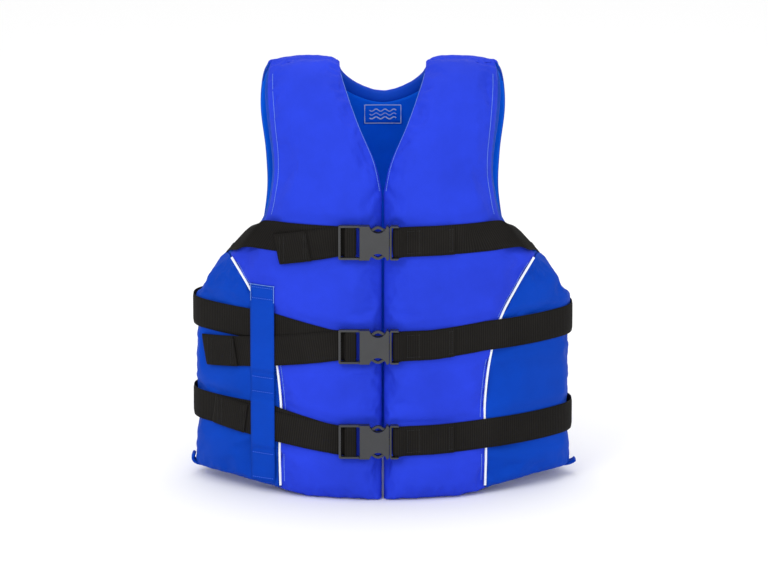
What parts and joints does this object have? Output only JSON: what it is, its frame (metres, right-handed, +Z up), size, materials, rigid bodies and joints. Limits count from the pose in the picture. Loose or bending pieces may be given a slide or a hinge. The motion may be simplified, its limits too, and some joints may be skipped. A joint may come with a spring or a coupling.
{
  "type": "life jacket",
  "caption": "Sleeveless foam buoyancy vest closed in front by webbing belts with side release buckles.",
  "frame": {"origin": "middle of the jacket's box at the level of its hem, on which it stands", "axes": "+Z up; the front with its buckles faces -Y; the wearer's left is +X"},
  "size_m": [0.4822, 0.2831, 0.5437],
  "materials": {
    "royal_nylon": "matte woven nylon",
    "blue_nylon": "matte woven nylon",
    "webbing": "ribbed woven polypropylene",
    "buckle_plastic": "satin moulded acetal",
    "piping": "matte cord piping",
    "foam": "closed cell foam",
    "label": "printed satin"
  },
  "bodies": {
    "vest": {"back_cover": "royal_nylon", "back_foam_inner": "foam", "back_foam_middle": "foam", "back_foam_outer": "foam", "back_hem": "royal_nylon", "back_lining": "blue_nylon", "chest_belt": "webbing", "chest_buckle_socket": "buckle_plastic", "front_left_cover": "royal_nylon", "front_left_foam_inner": "foam", "front_left_foam_middle": "foam", "front_left_foam_outer": "foam", "front_left_hem": "royal_nylon", "front_left_lining": "blue_nylon", "front_right_cover": "royal_nylon", "front_right_foam_inner": "foam", "front_right_foam_middle": "foam", "front_right_foam_outer": "foam", "front_right_hem": "royal_nylon", "front_right_lining": "blue_nylon", "hip_belt": "webbing", "hip_buckle_socket": "buckle_plastic", "left_piping": "piping", "left_shoulder_binding": "royal_nylon", "left_side_cover": "blue_nylon", "right_piping": "piping", "right_shoulder_binding": "royal_nylon", "right_side_cover": "blue_nylon", "size_label": "label", "strap_keeper": "blue_nylon", "waist_belt": "webbing", "waist_buckle_socket": "buckle_plastic"},
    "chest_clip": {"chest_buckle_clip": "buckle_plastic", "chest_clip_web": "webbing"},
    "chest_upper_arm": {"chest_upper_arm": "buckle_plastic"},
    "chest_lower_arm": {"chest_lower_arm": "buckle_plastic"},
    "chest_tail": {"chest_tail": "webbing"},
    "waist_clip": {"waist_buckle_clip": "buckle_plastic", "waist_clip_web": "webbing"},
    "waist_upper_arm": {"waist_upper_arm": "buckle_plastic"},
    "waist_lower_arm": {"waist_lower_arm": "buckle_plastic"},
    "waist_tail": {"waist_tail": "webbing"},
    "hip_clip": {"hip_buckle_clip": "buckle_plastic", "hip_clip_web": "webbing"},
    "hip_upper_arm": {"hip_upper_arm": "buckle_plastic"},
    "hip_lower_arm": {"hip_lower_arm": "buckle_plastic"},
    "hip_tail": {"hip_tail": "webbing"}
  },
  "joints": [
    {"name": "chest_clip_slide", "type": "slide", "parent": "vest", "child": "chest_clip", "axis": [1, 0, 0], "range_m": [0, 0.04], "deforming": ["chest_upper_arm", "chest_lower_arm"]},
    {"name": "chest_upper_squeeze", "type": "hinge", "parent": "chest_clip", "child": "chest_upper_arm", "pos_m": [0.006, -0.13605, 0.3515], "axis": [0, -1, 0], "range_deg": [0, 12], "stiffness_Nm_per_rad": 0.4},
    {"name": "chest_lower_squeeze", "type": "hinge", "parent": "chest_clip", "child": "chest_lower_arm", "pos_m": [0.006, -0.13605, 0.3205], "axis": [0, 1, 0], "range_deg": [0, 12], "stiffness_Nm_per_rad": 0.4},
    {"name": "chest_tail_shift", "type": "hinge", "parent": "vest", "child": "chest_tail", "pos_m": [0, 0.17211, 0.336], "axis": [0, 0, -1], "range_deg": [0, 8]},
    {"name": "waist_clip_slide", "type": "slide", "parent": "vest", "child": "waist_clip", "axis": [1, 0, 0], "range_m": [0, 0.04], "deforming": ["waist_upper_arm", "waist_lower_arm"]},
    {"name": "waist_upper_squeeze", "type": "hinge", "parent": "waist_clip", "child": "waist_upper_arm", "pos_m": [0.006, -0.13605, 0.2175], "axis": [0, -1, 0], "range_deg": [0, 12], "stiffness_Nm_per_rad": 0.4},
    {"name": "waist_lower_squeeze", "type": "hinge", "parent": "waist_clip", "child": "waist_lower_arm", "pos_m": [0.006, -0.13605, 0.1865], "axis": [0, 1, 0], "range_deg": [0, 12], "stiffness_Nm_per_rad": 0.4},
    {"name": "waist_tail_shift", "type": "hinge", "parent": "vest", "child": "waist_tail", "pos_m": [0, 0.17211, 0.202], "axis": [0, 0, -1], "range_deg": [0, 8]},
    {"name": "hip_clip_slide", "type": "slide", "parent": "vest", "child": "hip_clip", "axis": [1, 0, 0], "range_m": [0, 0.04], "deforming": ["hip_upper_arm", "hip_lower_arm"]},
    {"name": "hip_upper_squeeze", "type": "hinge", "parent": "hip_clip", "child": "hip_upper_arm", "pos_m": [0.006, -0.13605, 0.0945], "axis": [0, -1, 0], "range_deg": [0, 12], "stiffness_Nm_per_rad": 0.4},
    {"name": "hip_lower_squeeze", "type": "hinge", "parent": "hip_clip", "child": "hip_lower_arm", "pos_m": [0.006, -0.13605, 0.0635], "axis": [0, 1, 0], "range_deg": [0, 12], "stiffness_Nm_per_rad": 0.4},
    {"name": "hip_tail_shift", "type": "hinge", "parent": "vest", "child": "hip_tail", "pos_m": [0, 0.17211, 0.079], "axis": [0, 0, -1], "range_deg": [0, 8]}
  ]
}
